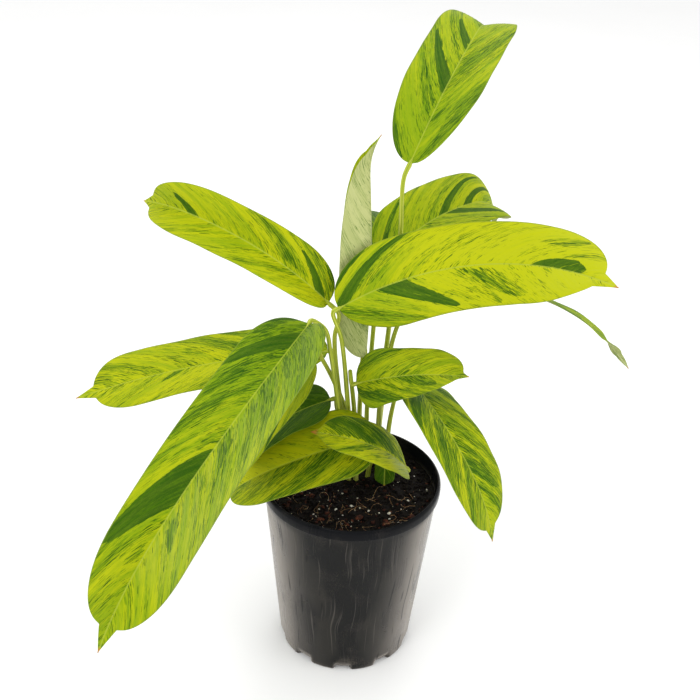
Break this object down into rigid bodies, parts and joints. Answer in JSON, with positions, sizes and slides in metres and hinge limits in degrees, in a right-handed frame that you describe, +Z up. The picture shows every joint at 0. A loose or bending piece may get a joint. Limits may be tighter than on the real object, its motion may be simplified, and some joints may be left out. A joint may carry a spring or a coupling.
{
  "type": "potted ctenanthe",
  "caption": "Round nursery pot of potting mix with a clump of slender stalks, each carrying one long oval variegated blade.",
  "frame": {"origin": "centre of the pot's flat underside", "axes": "+Z up along the pot's axis, -Y towards the side where the longest low leaf comes forward, +X right when seen from -Y"},
  "size_m": [0.4035, 0.3657, 0.4805],
  "materials": {
    "pot_plastic": "dark grey-black moulded nursery pot plastic, glossy and lightly scuffed",
    "mix": "moist dark potting mix of bark, peat and fibre",
    "blade": "smooth leaf blade, yellow-green with dark green streaks along the veins",
    "stalk": "ribbed yellow-green leaf stalk",
    "bark": "reddish-brown bark chip",
    "perlite": "white expanded perlite grain"
  },
  "bodies": {
    "root": {"pot": "pot_plastic", "soil": "mix", "stalk_upper_left": "stalk", "leaf_upper_left": "blade", "stalk_big_right": "stalk", "leaf_big_right": "blade", "stalk_front_left": "stalk", "leaf_front_left": "blade", "stalk_mid_left": "stalk", "leaf_mid_left": "blade", "stalk_inner_left": "stalk", "leaf_inner_left": "blade", "stalk_dark_left": "stalk", "leaf_dark_left": "blade", "stalk_small_right": "stalk", "leaf_small_right": "blade", "stalk_upright": "stalk", "leaf_upright": "blade", "stalk_back_right": "stalk", "leaf_back_right": "blade", "stalk_back_dark": "stalk", "leaf_back_dark": "blade", "stalk_top": "stalk", "leaf_top": "blade", "stalk_far_right": "stalk", "leaf_far_right": "blade", "stalk_right_drooping": "stalk", "leaf_right_drooping": "blade", "stalk_low_front": "stalk", "leaf_low_front": "blade", "stalk_young_front": "stalk", "leaf_young_front": "blade", "stalk_seedling": "stalk", "leaf_seedling": "blade", "bark_1": "bark", "bark_2": "bark", "bark_3": "bark", "bark_4": "bark", "bark_5": "bark", "bark_6": "bark", "bark_7": "bark", "bark_8": "bark", "perlite_1": "perlite", "perlite_2": "perlite", "perlite_3": "perlite", "perlite_4": "perlite", "perlite_5": "perlite", "perlite_6": "perlite"}
  },
  "joints": []
}
